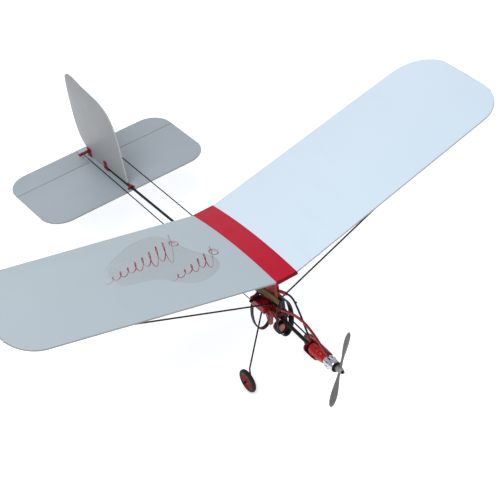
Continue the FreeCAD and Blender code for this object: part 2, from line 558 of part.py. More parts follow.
def make_propeller():
    shaft = rod((0, -50.5, MOTOR_Z), (0, HUB_FRONT - 2.3, MOTOR_Z), SHAFT_R)
    hub = rod((0, HUB_REAR, MOTOR_Z), (0, HUB_STEP, MOTOR_Z), 2.9)
    hub = hub.fuse(rod((0, HUB_STEP, MOTOR_Z), (0, HUB_FRONT, MOTOR_Z), 3.3))
    stations = [(2.0, 2.6, 2.4, 40), (8.0, 3.0, 1.7, 28), (15.0, 5.2, 1.3, 15), (24.0, 7.6, 1.1, 9),
                (31.0, 7.4, 0.9, 7), (35.5, 5.0, 0.7, 6), (PROP_R, 2.4, 0.5, 6)]
    sections = []
    for r, width, thick, pitch in stations:
        corners = [V(-width / 2, -thick / 2, r), V(width / 2, -thick / 2, r),
                   V(width / 2, thick / 2, r), V(-width / 2, thick / 2, r)]
        wire = Part.makePolygon(corners + corners[:1])
        wire.rotate(V(0, 0, 0), Z, pitch)
        wire.translate(V(0, PROP_Y, MOTOR_Z))
        sections.append(wire)
    blade = Part.makeLoft(sections, True, True)
    other = blade.copy()
    other.rotate(V(0, 0, MOTOR_Z), Y, 180)
    prop = hub.fuse([blade, other])
    prop = prop.cut(rod((0, -60, MOTOR_Z), (0, -72, MOTOR_Z), SHAFT_R)).removeSplitter()
    prop.rotate(V(0, 0, MOTOR_Z), Y, PROP_TURN)
    nodes["propeller"] = prop
    nodes["prop_shaft"] = shaft
    nut = rod((0, HUB_FRONT, MOTOR_Z), (0, HUB_FRONT - 2.0, MOTOR_Z), 1.7).cut(shaft)
    nodes["prop_nut"] = nut


def main():
    make_boom()
    make_wing()
    make_pylon()
    make_struts()
    make_bands()
    make_stabiliser()
    make_fin()
    make_controls()
    make_pod()
    make_wheels()
    make_nose()
    make_nose_frame()
    make_propeller()
    os.makedirs("parts", exist_ok=True)
    for name, shape in nodes.items():
        shape.exportStep(os.path.join("parts", name + ".step"))
        print(name, "solids", len(shape.Solids), "valid", shape.isValid(), "mm3", round(shape.Volume, 1))


main()
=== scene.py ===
import math
import bmesh
import bpy
from mathutils import Matrix, Vector


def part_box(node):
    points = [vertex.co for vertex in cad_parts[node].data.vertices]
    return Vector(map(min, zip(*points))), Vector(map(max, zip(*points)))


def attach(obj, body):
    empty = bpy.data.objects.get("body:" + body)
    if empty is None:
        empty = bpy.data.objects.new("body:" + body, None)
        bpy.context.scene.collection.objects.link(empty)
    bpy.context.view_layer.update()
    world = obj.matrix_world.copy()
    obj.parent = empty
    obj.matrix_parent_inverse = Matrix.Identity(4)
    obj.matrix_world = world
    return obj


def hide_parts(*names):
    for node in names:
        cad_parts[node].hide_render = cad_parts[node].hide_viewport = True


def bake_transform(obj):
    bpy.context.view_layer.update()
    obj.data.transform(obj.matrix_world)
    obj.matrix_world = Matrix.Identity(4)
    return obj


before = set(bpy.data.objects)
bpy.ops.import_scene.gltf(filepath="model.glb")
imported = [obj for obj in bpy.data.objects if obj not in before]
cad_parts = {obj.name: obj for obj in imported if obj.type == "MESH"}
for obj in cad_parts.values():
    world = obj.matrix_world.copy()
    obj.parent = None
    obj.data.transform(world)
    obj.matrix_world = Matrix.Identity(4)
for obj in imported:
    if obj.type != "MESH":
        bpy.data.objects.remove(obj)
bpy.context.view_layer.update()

MM = 0.001

# ---------------------------------------------------------------- sizes
# The wing's driving dimensions, as in the CAD.
CHORD = 130 * MM
CAMBER = 4.6 * MM
FOAM = 2.2 * MM
DIHEDRAL = math.radians(14.3)
TIP_LE_RADIUS = 28 * MM
TIP_TE_RADIUS = 38 * MM
TIP_CHORD = 118.5 * MM

# Read from the frame.
STRIP_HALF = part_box("wing_centre_strip")[1].x
HALF_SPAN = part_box("wing_panel_port")[1].x
STAB_LOW, STAB_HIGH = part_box("stabiliser")
HINGE_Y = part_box("elevator_joiner")[0].y + 0.4 * MM
BOOM_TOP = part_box("tail_boom")[1].z
SLEEVE_LOW, SLEEVE_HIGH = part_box("motor_sleeve")
MOTOR_Z = (SLEEVE_LOW.z + SLEEVE_HIGH.z) / 2

# Clearances, edges and the place of the propeller.
FIN_CLEARANCE = 0.35 * MM
FOAM_EDGE = 0.55 * MM
FILM_LIFT = 0.06 * MM
PROP_Y = -66.0 * MM
PROP_REST_TURN = math.radians(20.8)

# In millimetres, as the lathe profiles are.
SCROLL_HALF_WIDTH = 0.42
WHEEL_RIM = 8.4
AXLE_BORE = 0.81
COLLAR_WIDTH = 1.8

# How many of what repeats.
BLADE_POINTS = 20
SPOKES = 12
CAN_REFLECTION_BANDS = 10
BAND_STRANDS = 8

# Floor, light and camera.
FLOOR_SIZE = 6.0
FLOOR_GLOW = 0.42
SKY_STRENGTH = 0.45
SENSOR_WIDTH = 36.0
LENS = 122.4


# ---------------------------------------------------------------- materials
class Paint:
    """A node material with short calls for the nodes that the finishes below share."""

    def __init__(self, name, base, roughness, **sockets):
        self.material = bpy.data.materials.new(name)
        self.material.use_nodes = True
        self.tree = self.material.node_tree
        self.shader = self.tree.nodes["Principled BSDF"]
        self.place = self.tree.nodes.new("ShaderNodeTexCoord").outputs["Object"]
        self.colour = None
        self.normal = None
        self.base = base
        self.shader.inputs["Base Color"].default_value = (*base, 1)
        self.shader.inputs["Roughness"].default_value = roughness
        for key, value in sockets.items():
            self.shader.inputs[key.replace("_", " ")].default_value = value

    def add(self, kind, **settings):
        node = self.tree.nodes.new(kind)
        for key, value in settings.items():
            if hasattr(node, key):
                setattr(node, key, value)
            else:
                node.inputs[key].default_value = value
        return node

    def link(self, source, target):
        self.tree.links.new(source, target)

    def mapped(self, scale):
        node = self.add("ShaderNodeMapping")
        node.inputs["Scale"].default_value = scale
        self.link(self.place, node.inputs["Vector"])
        return node.outputs["Vector"]

    def noise(self, scale, detail=4.0, stretch=(1, 1, 1)):
        node = self.add("ShaderNodeTexNoise", Scale=scale, Detail=detail)
        self.link(self.mapped(stretch), node.inputs["Vector"])
        return node.outputs["Fac"]

    def cells(self, scale):
        node = self.add("ShaderNodeTexVoronoi", Scale=scale)
        self.link(self.place, node.inputs["Vector"])
        return node.outputs["Distance"]

    def ramp(self, value, low, high, dark=0.0, light=1.0):
        node = self.add("ShaderNodeMapRange")
        for key, number in (("From Min", low), ("From Max", high), ("To Min", dark), ("To Max", light)):
            node.inputs[key].default_value = number
        self.link(value, node.inputs["Value"])
        return node.outputs["Result"]

    def tint(self, factor, colour, amount=1.0):
        """Mixes a colour over what is there, where factor is high."""
        node = self.add("ShaderNodeMix", data_type="RGBA")
        scaled = self.add("ShaderNodeMath", operation="MULTIPLY")
        self.link(factor, scaled.inputs[0])
        scaled.inputs[1].default_value = amount
        self.link(scaled.outputs[0], node.inputs[0])
        if self.colour is None:
            node.inputs[6].default_value = (*self.base, 1)
        else:
            self.link(self.colour, node.inputs[6])
        node.inputs[7].default_value = (*colour, 1)
        self.colour = node.outputs[2]
        self.link(self.colour, self.shader.inputs["Base Color"])
        return self

    def bump(self, height, distance, strength=1.0):
        node = self.add("ShaderNodeBump", Strength=strength, Distance=distance)
        self.link(height, node.inputs["Height"])
        if self.normal is not None:
            self.link(self.normal, node.inputs["Normal"])
        self.normal = node.outputs["Normal"]
        self.link(self.normal, self.shader.inputs["Normal"])
        return self

    def rough(self, value, low, high):
        self.link(self.ramp(value, 0.3, 0.7, low, high), self.shader.inputs["Roughness"])
        return self

    def edges(self, axis, colour, amount):
        """Tints the narrow sides of a sheet, where the skin is cut through; a darker tint here is also
        painted shade on the rounded edges.
        """
        across = self.add("ShaderNodeVectorMath", operation="DOT_PRODUCT")
        self.link(self.add("ShaderNodeTexCoord").outputs["Normal"], across.inputs[0])
        across.inputs[1].default_value = axis
        size = self.add("ShaderNodeMath", operation="ABSOLUTE")
        self.link(across.outputs["Value"], size.inputs[0])
        return self.tint(self.ramp(size.outputs[0], 0.82, 0.4), colour, amount)

    def wear(self, colour, amount=0.6, radius=0.0006):
        """Lighter or darker along sharp edges."""
        bevel = self.add("ShaderNodeBevel", samples=4)
        bevel.inputs["Radius"].default_value = radius
        geometry = self.add("ShaderNodeNewGeometry")
        across = self.add("ShaderNodeVectorMath", operation="DOT_PRODUCT")
        self.link(bevel.outputs["Normal"], across.inputs[0])
        self.link(geometry.outputs["Normal"], across.inputs[1])
        return self.tint(self.ramp(across.outputs["Value"], 0.985, 0.90), colour, amount)


def foam_paint(name, base, shade, warm, axis=(0, 0, 1)):
    """Skinned sheet foam: satin skin, fine cells, faint blotches and handling marks, a brownish band on the
    narrow sides, partly the cut edge and partly painted shade on the rounded edges.
    """
    paint = Paint(name, base, 0.42, Specular_IOR_Level=0.45, Sheen_Weight=0.08, Coat_Weight=0.06)
    paint.tint(paint.ramp(paint.noise(7.0, 2.0), 0.35, 0.75), shade, 0.35)
    paint.tint(paint.ramp(paint.noise(60.0, 6.0, (1, 0.25, 1)), 0.6, 0.8), warm, 0.04)
    paint.tint(paint.ramp(paint.cells(900.0), 0.0, 0.25, 1.0, 0.0), shade, 0.10)
    # The narrow sides tinted: the cut skin, and painted shade on the rounded leading and trailing edges.
    paint.edges(axis, warm, 0.85)
    paint.rough(paint.noise(40.0, 4.0), 0.36, 0.5)
    paint.bump(paint.cells(1400.0), 0.00004, 0.35)
    paint.bump(paint.noise(160.0, 3.0), 0.00006, 0.5)
    paint.bump(paint.noise(14.0, 2.0), 0.0006, 0.35)
    return paint


def fin_paint():
    """The fin's foam: a dark base as painted shade of its shaded side, lighter towards its foot as painted
    light, with a pale cut edge.
    """
    paint = foam_paint("foam_fin_painted_shade", (0.225, 0.235, 0.245), (0.21, 0.22, 0.23), (0.42, 0.43, 0.43),
                       (1, 0, 0))
    split = paint.add("ShaderNodeSeparateXYZ")
    paint.link(paint.place, split.inputs[0])
    low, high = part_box("fin")
    # Painted light: the fin lighter towards its foot, against the shade the stabiliser throws there.
    paint.tint(paint.ramp(split.outputs["Z"], high.z, low.z), (0.36, 0.375, 0.39), 0.75)
    return paint.material


def plastic_paint(name, base, roughness=0.32, wear_colour=None, grain=0.00005, coat=0.12, shine=0.35):
    """Moulded plastic: slight flow marks, fine grain, edges rubbed lighter."""
    paint = Paint(name, base, roughness, Coat_Weight=coat, Coat_Roughness=0.25, Specular_IOR_Level=shine)
    dark = tuple(c * 0.62 for c in base)
    paint.tint(paint.ramp(paint.noise(180.0, 3.0), 0.45, 0.8), dark, 0.6)
    pale = tuple(min(1, c * 1.5 + 0.01) for c in base)
    paint.tint(paint.ramp(paint.noise(900.0, 2.0, (1, 0.2, 1)), 0.6, 0.8), pale, 0.3)
    rubbed = tuple(min(1, c * 1.6 + 0.03) for c in base)
    paint.wear(wear_colour or rubbed, 0.5)
    paint.rough(paint.noise(300.0, 4.0), roughness * 0.8, roughness * 1.3)
    paint.bump(paint.noise(1500.0, 3.0), grain, 0.5)
    return paint.material


def strip_paint():
    """Red self-adhesive film over the wing centre: satin, with faint lengthwise streaks."""
    paint = Paint("red_film", (0.50, 0.010, 0.034), 0.5, Specular_IOR_Level=0.12)
    paint.tint(paint.ramp(paint.noise(28.0, 4.0, (1, 0.15, 1)), 0.4, 0.8), (0.56, 0.018, 0.045), 0.5)
    paint.tint(paint.ramp(paint.noise(500.0, 2.0), 0.62, 0.8), (0.36, 0.012, 0.03), 0.35)
    paint.rough(paint.noise(60.0, 4.0), 0.3, 0.45)
    paint.bump(paint.noise(700.0, 3.0, (1, 0.3, 1)), 0.00004, 0.5)
    return paint.material


def carbon_paint(name="carbon", base=(0.006, 0.006, 0.006)):
    """Pultruded carbon rod: lengthwise fibres under a clear satin resin."""
    paint = Paint(name, base, 0.36, Specular_IOR_Level=0.18)
    fibres = paint.noise(2600.0, 3.0, (1, 0.02, 1))
    paint.tint(paint.ramp(fibres, 0.5, 0.75), (0.03, 0.028, 0.027), 0.7)
    paint.rough(paint.noise(200.0, 3.0, (1, 0.1, 1)), 0.28, 0.46)
    paint.bump(fibres, 0.00003, 0.6)
    return paint.material


def rubber_paint(name, base, dust, grain=0.00008):
    paint = Paint(name, base, 0.62, Specular_IOR_Level=0.2, Sheen_Weight=0.05)
    paint.tint(paint.ramp(paint.noise(250.0, 5.0), 0.45, 0.75), dust, 0.6)
    paint.rough(paint.noise(120.0, 3.0), 0.5, 0.75)
    paint.bump(paint.noise(1800.0, 4.0), grain, 0.7)
    return paint.material


def metal_paint(name, base, roughness, stretch=(1, 1, 1), scale=1500.0):
    """Drawn or turned metal: fine lines round or along the piece, and small stains."""
    paint = Paint(name, base, roughness, Metallic=1.0)
    lines = paint.noise(scale, 4.0, stretch)
    paint.tint(paint.ramp(lines, 0.5, 0.75), tuple(c * 0.55 for c in base), 0.5)
    paint.tint(paint.ramp(paint.noise(220.0, 4.0), 0.6, 0.8), tuple(c * 0.4 for c in base), 0.35)
    paint.rough(lines, roughness * 0.75, roughness * 1.4)
    paint.bump(lines, 0.00002, 0.6)
    return paint.material


def anodised_paint():
    """Bright red anodised sleeve with turning lines and brighter worn patches."""
    paint = Paint("red_anodised", (0.36, 0.004, 0.005), 0.28, Metallic=0.25, Coat_Weight=0.12,
                  Coat_Roughness=0.1, Specular_IOR_Level=0.3)
    lines = paint.noise(1100.0, 3.0, (0.1, 1, 0.1))
    paint.tint(paint.ramp(lines, 0.5, 0.8), (0.22, 0.003, 0.003), 0.55)
    paint.tint(paint.ramp(paint.noise(230.0, 5.0), 0.62, 0.76), (0.80, 0.10, 0.06), 0.45)
    paint.wear((0.75, 0.12, 0.10), 0.35)
    paint.bump(lines, 0.00002, 0.6)
    return paint.material


def film_paint():
    """Clear grey film with a slight milkiness over the foam."""
    paint = Paint("clear_film", (0.435, 0.485, 0.52), 0.3, Specular_IOR_Level=0.4)
    paint.tint(paint.ramp(paint.noise(45.0, 4.0), 0.4, 0.75), (0.46, 0.51, 0.545), 0.6)
    paint.rough(paint.noise(90.0, 3.0), 0.24, 0.4)
    paint.bump(paint.noise(300.0, 3.0), 0.00003, 0.5)
    return paint.material


WARM = (0.20, 0.185, 0.175)
# One foam in lit and shaded copies: the port panel lighter as painted light, the starboard panel and the
# tail darker as painted shade.
FOAM_PORT_PAINTED_LIT = foam_paint("foam_port_painted_light", (0.68, 0.80, 0.91), (0.63, 0.74, 0.84), WARM).material
FOAM_STARBOARD_PAINTED_SHADE = foam_paint("foam_starboard_painted_shade", (0.48, 0.555, 0.605), (0.45, 0.52, 0.565), WARM).material
FOAM_TAIL_PAINTED_SHADE = foam_paint("foam_tail_painted_shade", (0.365, 0.415, 0.46), (0.335, 0.38, 0.42), WARM).material
FOAM_FIN_PAINTED_SHADE = fin_paint()
# Darker foam for the hinge webs: painted shade in the hinge crease.
FOAM_GROOVE_PAINTED_SHADE = foam_paint("foam_groove_painted_shade", (0.24, 0.26, 0.28), (0.20, 0.22, 0.24), WARM).material
RED_FILM = strip_paint()
RED = plastic_paint("red_plastic", (0.22, 0.004, 0.008), 0.3, (0.34, 0.02, 0.03), coat=0.05, shine=0.22)
DARK_RED = plastic_paint("dark_red_plastic", (0.10, 0.004, 0.006), 0.36, (0.2, 0.01, 0.012), coat=0.0,
                         shine=0.18)
SERVO_RED = plastic_paint("servo_red", (0.30, 0.006, 0.012), 0.3, (0.4, 0.03, 0.04), coat=0.05,
                          shine=0.2)
BLACK = plastic_paint("black_plastic", (0.007, 0.007, 0.007), 0.42, (0.03, 0.03, 0.03), coat=0.0,
                      shine=0.18)
GREY = plastic_paint("grey_plastic", (0.12, 0.12, 0.115), 0.4, (0.22, 0.22, 0.21), coat=0.0, shine=0.3)
HUB_GREY = plastic_paint("hub_grey", (0.22, 0.225, 0.23), 0.32, (0.4, 0.4, 0.4))
HUB_RED = plastic_paint("hub_plastic", (0.24, 0.022, 0.016), 0.42, (0.36, 0.06, 0.045), coat=0.0,
                        shine=0.2)
# A darker copy of the red film for the strip's front lip: painted shade.
LIP_RED_PAINTED_SHADE = plastic_paint("red_film_lip_painted_shade", (0.20, 0.004, 0.012), 0.5, (0.3, 0.01, 0.02), coat=0.0,
                        shine=0.1)
CELL_PINK = plastic_paint("cell_end", (0.42, 0.10, 0.085), 0.4, (0.6, 0.3, 0.26))
CARBON = carbon_paint()
BROWN_BLACK = carbon_paint("hoop_carbon", (0.020, 0.012, 0.010))
BAND = rubber_paint("rubber_band", (0.16, 0.115, 0.045), (0.25, 0.19, 0.09))
TYRE = rubber_paint("tyre_rubber", (0.007, 0.007, 0.006), (0.03, 0.028, 0.026), 0.00012)
WIRE = plastic_paint("black_wire", (0.006, 0.006, 0.006), 0.4, (0.03, 0.03, 0.03), coat=0.0, shine=0.15)
STEEL = metal_paint("steel", (0.42, 0.42, 0.43), 0.25)
SILVER = metal_paint("silver_can", (0.60, 0.62, 0.65), 0.2, (0.1, 1, 0.1), 900.0)
ANODISED = anodised_paint()
FILM = film_paint()
FLOURISH = plastic_paint("red_print", (0.30, 0.003, 0.026), 0.45, (0.4, 0.01, 0.04), 0.00001, 0.0, 0.1)


# ---------------------------------------------------------------- mesh helpers
def finish_piece(piece, body, material, nodes=()):
    piece.data.materials.clear()
    piece.data.materials.append(material)
    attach(piece, body)
    if nodes:
        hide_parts(*nodes)
    return piece


def new_piece(name, bm, sharp=35):
    bmesh.ops.recalc_face_normals(bm, faces=bm.faces)
    mesh = bpy.data.meshes.new(name)
    bm.to_mesh(mesh)
    bm.free()
    mesh.shade_smooth()
    mesh.set_sharp_from_angle(angle=math.radians(sharp))
    piece = bpy.data.objects.new(name, mesh)
    bpy.context.scene.collection.objects.link(piece)
    return piece


def rings_to_bmesh(bm, rings, caps=True):
    """Skins rings of the same number of points, and closes the first and the last."""
    made = [[bm.verts.new(p) for p in ring] for ring in rings]
    count = len(rings[0])
    for first, second in zip(made, made[1:]):
        for i in range(count):
            j = (i + 1) % count
            bm.faces.new((first[i], first[j], second[j], second[i]))
    if caps:
        bm.faces.new(made[0][::-1])
        bm.faces.new(made[-1])
    return made


def tube_rings(points, radius, sides=12, flat=1.0):
    """Rings of a tube along points; radius may be a function of how far along it is, from 0 to 1."""
    points = [Vector(p) for p in points]
    total = len(points) - 1
    side = None
    rings = []
    for i, point in enumerate(points):
        along = (points[min(i + 1, total)] - points[max(i - 1, 0)]).normalized()
        if side is None:
            helper = Vector((0, 0, 1)) if abs(along.z) < 0.9 else Vector((1, 0, 0))
            side = along.cross(helper).normalized()
        side = (side - along * side.dot(along)).normalized()
        other = along.cross(side)
        size = radius(i / total) if callable(radius) else radius
        ring = []
        for k in range(sides):
            turn = 2 * math.pi * k / sides
            ring.append(point + side * (math.cos(turn) * size) + other * (math.sin(turn) * size * flat))
        rings.append(ring)
    return rings


def spline(points, steps=10, closed=False):
    """A smooth curve through the points, by Catmull-Rom."""
    points = [Vector(p) for p in points]
    count = len(points)
    result = []
    spans = count if closed else count - 1
    for i in range(spans):
        near = [(i + k) % count if closed else min(max(i + k, 0), count - 1) for k in (-1, 0, 1, 2)]
        p = [points[k] for k in near]
        for step in range(steps):
            t = step / steps
            straight = 2 * p[1] + (p[2] - p[0]) * t
            bend = (2 * p[0] - 5 * p[1] + 4 * p[2] - p[3]) * t * t
            twist = (3 * p[1] - p[0] - 3 * p[2] + p[3]) * t ** 3
            result.append(0.5 * (straight + bend + twist))
    if not closed:
        result.append(points[-1])
    return result


def tube(name, points, radius, body, material, nodes=(), sides=12, flat=1.0):
    bm = bmesh.new()
    rings_to_bmesh(bm, tube_rings(points, radius, sides, flat))
    return finish_piece(new_piece(name, bm), body, material, nodes)


def lathe(name, profile, centre, axis, body, material, nodes=(), segments=64, sharp=35):
    """Turns (along, radius) points about an axis through centre; the profile is a closed loop."""
    axis = Vector(axis).normalized()
    helper = Vector((0, 0, 1)) if abs(axis.z) < 0.9 else Vector((1, 0, 0))
    side = axis.cross(helper).normalized()
    other = axis.cross(side)
    centre = Vector(centre)
    bm = bmesh.new()
    rings = []
    for k in range(segments):
        turn = 2 * math.pi * k / segments
        out = side * math.cos(turn) + other * math.sin(turn)
        rings.append([centre + axis * a * MM + out * r * MM for a, r in profile])
    rings.append(rings[0])
    rings_to_bmesh(bm, rings, False)
    bmesh.ops.remove_doubles(bm, verts=bm.verts, dist=1e-7)
    return finish_piece(new_piece(name, bm, sharp), body, material, nodes)


def softened(node, name, width, material, body="airframe", segments=3, sharp=32):
    """The shape of a CAD node with its edges rounded, as a moulded piece has them."""
    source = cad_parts[node].data
    bm = bmesh.new()
    bm.from_mesh(source)
    bmesh.ops.remove_doubles(bm, verts=bm.verts, dist=2e-6)
    bmesh.ops.dissolve_limit(bm, angle_limit=math.radians(2), verts=bm.verts, edges=bm.edges)
    piece = new_piece(name, bm, sharp)
    bevel = piece.modifiers.new("rounded_edges", "BEVEL")
    bevel.width = width
    bevel.segments = segments
    bevel.limit_method = "ANGLE"
    bevel.angle_limit = math.radians(sharp)
    bevel.harden_normals = True
    return finish_piece(piece, body, material, (node,))


def block(name, size, centre, edge, segments, profile, material):
    """A box with rounded edges, fixed to the airframe."""
    bm = bmesh.new()
    bmesh.ops.create_cube(bm, size=1)
    place = Matrix.Translation(centre) @ Matrix.Diagonal((*size, 1))
    bmesh.ops.transform(bm, matrix=place, verts=bm.verts)
    bmesh.ops.bevel(bm, geom=bm.edges, offset=edge, segments=segments, affect="EDGES", profile=profile)
    return finish_piece(new_piece(name, bm), "airframe", material)


def plate(name, outline, thickness, place, edge, body, material, nodes=()):
    """A flat foam plate with rounded edges. outline is 2-D points; place turns (u, v, w) into the frame."""
    count = len(outline)
    outline = [Vector((u, v)) for u, v in outline]
    area = sum(a.x * b.y - b.x * a.y for a, b in zip(outline, outline[1:] + outline[:1]))
    normals = []
    for i in range(count):
        run = outline[(i + 1) % count] - outline[i - 1]
        inward = Vector((-run.y, run.x)).normalized()
        normals.append(inward if area > 0 else -inward)
    half = thickness / 2
    steps = 5
    rings = []
    profile = [(edge * (1 - math.cos(a)), half - edge + edge * math.sin(a))
               for a in [math.pi / 2 * k / steps for k in range(steps + 1)]]
    for inset, height in [(i, -h) for i, h in profile[::-1]] + profile:
        rings.append([place(p.x + n.x * inset, p.y + n.y * inset, height) for p, n in zip(outline, normals)])
    bm = bmesh.new()
    rings_to_bmesh(bm, rings)
    return finish_piece(new_piece(name, bm, 50), body, material, nodes)


def rounded(corners, radii, steps=10):
    """Outline points of a polygon whose corners are rounded."""
    result = []
    count = len(corners)
    for i in range(count):
        corner = Vector(corners[i])
        into = (corner - Vector(corners[i - 1])).normalized()
        out = (Vector(corners[(i + 1) % count]) - corner).normalized()
        if radii[i] == 0:
            result.append(corner)
            continue
        turn = into.angle(out)
        setback = radii[i] * math.tan(turn / 2)
        centre = corner + (out - into).normalized() * (radii[i] / math.cos(turn / 2))
        start = corner - into * setback - centre
        sign = 1 if into.x * out.y - into.y * out.x > 0 else -1
        for k in range(steps + 1):
            angle = sign * turn * k / steps
            spun = Vector((start.x * math.cos(angle) - start.y * math.sin(angle),
                           start.x * math.sin(angle) + start.y * math.cos(angle)))
            result.append(centre + spun)
    return [(p.x, p.y) for p in result]


# ---------------------------------------------------------------- wing
def arch(y):
    return CAMBER * 4 * (y / CHORD) * (1 - y / CHORD)


def arch_slope(y):
    return CAMBER * 4 * (1 - 2 * y / CHORD) / CHORD


PANEL = (HALF_SPAN - STRIP_HALF) / math.cos(DIHEDRAL)


def edge_at(along):
    """Leading and trailing edge positions of a panel at a distance along it."""
    rear = CHORD - (CHORD - TIP_CHORD) * along / PANEL
    front = 0.0
    for radius, is_front in ((TIP_LE_RADIUS, True), (TIP_TE_RADIUS, False)):
        past = along - (PANEL - radius)
        if past > 0:
            drop = radius - math.sqrt(max(radius ** 2 - past ** 2, 0))
            if is_front:
                front = drop
            else:
                rear -= drop
    return front, rear


def foam_section(front, rear, thin, proud=0.0, points=44):
    """Closed (y, z) loop of a cambered sheet with round edges."""
    half = FOAM / 2 * thin + proud
    loop = []
    middle = []
    for k in range(points + 1):
        share = 0.5 - 0.5 * math.cos(math.pi * k / points)
        middle.append(front + half + (rear - front - 2 * half) * share)
    for y in middle:
        slope = arch_slope(y)
        length = math.hypot(1, slope)
        base = arch(y) - FOAM / 2
        loop.append((y - slope / length * half, base + half / length))
    for k in range(1, 6):
        angle = math.pi / 2 - math.pi * k / 6
        y = rear - half
        loop.append((y + half * math.cos(angle), arch(y) - FOAM / 2 + half * math.sin(angle)))
    for y in middle[::-1]:
        slope = arch_slope(y)
        length = math.hypot(1, slope)
        base = arch(y) - FOAM / 2
        loop.append((y + slope / length * half, base - half / length))
    for k in range(1, 6):
        angle = -math.pi / 2 - math.pi * k / 6
        y = front + half
        loop.append((y + half * math.cos(angle), arch(y) - FOAM / 2 + half * math.sin(angle)))
    return loop


def on_panel(side, along, y, z):
    """A point of a wing panel, turned up by the dihedral."""
    x = STRIP_HALF + along * math.cos(DIHEDRAL) - z * math.sin(DIHEDRAL)
    return Vector((side * x, y, along * math.sin(DIHEDRAL) + z * math.cos(DIHEDRAL)))


def wing_panel(side, name, node, material):
    stations = [PANEL * 0.88 * k / 26 for k in range(27)]
    stations += [PANEL * (0.88 + 0.12 * math.sin(math.pi / 2 * k / 18)) for k in range(1, 18)]
    rings = []
    for along in stations:
        front, rear = edge_at(along)
        rings.append([on_panel(side, along, y, z) for y, z in foam_section(front, rear, 1.0)])
    tip_round = FOAM / 2
    for k in range(6):
        angle = math.pi / 2 * k / 5
        along = PANEL - tip_round + tip_round * math.sin(angle)
        front, rear = edge_at(PANEL - tip_round * 0.9)
        inset = tip_round * (1 - math.cos(angle))
        section = foam_section(front + inset, rear - inset, max(math.cos(angle), 0.12))
        rings.append([on_panel(side, along, y, z) for y, z in section])
    bm = bmesh.new()
    rings_to_bmesh(bm, rings)
    return finish_piece(new_piece(name, bm, 60), "airframe", material, (node,))


def wing_strip():
    """Red film wrapped round the centre of the wing, with a thicker rounded lip at the front in a darker
    red: painted shade on its downward-facing front.
    """
    bm = bmesh.new()
    stations = [-STRIP_HALF + 0.02 * MM, -STRIP_HALF + 0.25 * MM]
    stations += [STRIP_HALF * k / 6 for k in range(-5, 6)]
    stations += [STRIP_HALF - 0.25 * MM, STRIP_HALF - 0.02 * MM]
    rings = []
    for i, x in enumerate(stations):
        proud = 0.12 * MM if i in (0, len(stations) - 1) else 0.3 * MM
        rings.append([Vector((x, y, z)) for y, z in foam_section(-0.35 * MM, CHORD + 0.35 * MM, 1.0, proud)])
    rings_to_bmesh(bm, rings)
    film = new_piece("centre_strip_film", bm, 50)
    finish_piece(film, "airframe", RED_FILM, ("wing_centre_strip",))
    # The lip's darker red is painted shade on the strip's front, which faces down.
    nose = [(x, -0.35 * MM, -1.1 * MM) for x in [STRIP_HALF * k / 10 * 0.97 for k in range(-10, 11)]]
    tube("centre_strip_lip", nose, 1.5 * MM, "airframe", LIP_RED_PAINTED_SHADE, (), 16)


def surface_point(side, along, y, lift):
    """A point just above the upper surface of a panel."""
    slope = arch_slope(y)
    length = math.hypot(1, slope)
    return on_panel(side, along, y - slope / length * lift, arch(y) + lift / length)


def wing_decal():
    """A two-lobed clear film on the starboard panel with a plain scroll ornament printed on it."""
    shape = [(130, 66), (117, 82), (85, 103), (60, 110), (50, 104), (46, 89), (40, 71), (28, 50),
             (38, 34), (61, 26), (79, 33), (90, 43), (108, 46), (125, 49)]
    outline = spline([(a * MM, y * MM, 0) for a, y in shape], 8, True)
    centre = Vector((72 * MM, 66 * MM, 0))
    bm = bmesh.new()
    levels = 12
    rings = []
    for k in range(1, levels + 1):
        share = k / levels
        rings.append([surface_point(-1, *(centre + (p - centre) * share).xy, FILM_LIFT) for p in outline])
    rim = [surface_point(-1, *(centre + (p - centre) * 1.004).xy, -0.05 * MM) for p in outline]
    rings.append(rim)
    made = rings_to_bmesh(bm, rings, False)
    hub = bm.verts.new(surface_point(-1, *centre.xy, FILM_LIFT))
    count = len(outline)
    for i in range(count):
        bm.faces.new((hub, made[0][i], made[0][(i + 1) % count]))
    finish_piece(new_piece("decal_film", bm, 80), "airframe", FILM)
    scrolls = []
    lean = Vector((-0.41, 0.91))
    rows = (((50, 84), (132, 58), 22.0, 4.5, 9), ((27, 56), (80, 38), 15.0, 3.5, 6))
    for start, end, tall, low, waves in rows:
        start = Vector(start)
        run = Vector(end) - start
        steps = 44 * waves
        line = []
        for k in range(steps + 1):
            t = k / steps
            turn = 2 * math.pi * waves * t
            tip = (low + tall * (1 - t) ** 1.8) * (0.85 + 0.15 * math.sin(0.45 * turn))
            point = start + run * t + lean * tip * math.sin(turn) + run.normalized() * 2.6 * math.cos(turn)
            line.append((point.x * MM, point.y * MM))
        scrolls.append(line)
        curl = []
        for k in range(72):
            turn = 2 * math.pi * 1.4 * k / 71
            size = 5.5 * (1 - 0.6 * k / 71)
            x = start.x - 3 - size * math.cos(turn)
            y = start.y + 4 + size * math.sin(turn)
            curl.append((x * MM, y * MM))
        scrolls.append(curl)
    bm = bmesh.new()
    for line in scrolls:
        rings = []
        total = len(line) - 1
        for i, point in enumerate(line):
            before = line[max(i - 1, 0)]
            after = line[min(i + 1, total)]
            run = Vector((after[0] - before[0], after[1] - before[1])).normalized()
            taper = min(1, 6 * i / total + 0.1, 6 * (1 - i / total) + 0.1)
            wide = SCROLL_HALF_WIDTH * MM * (0.45 + 0.55 * abs(math.sin(i * 0.11))) * taper
            side = Vector((-run.y, run.x)) * wide
            rings.append([surface_point(-1, point[0] + side.x * s, point[1] + side.y * s, lift * MM)
                          for s, lift in ((-1, 0.05), (-0.8, 0.10), (0.8, 0.10), (1, 0.05))])
        rings_to_bmesh(bm, rings)
    finish_piece(new_piece("decal_scrolls", bm, 60), "airframe", FLOURISH)


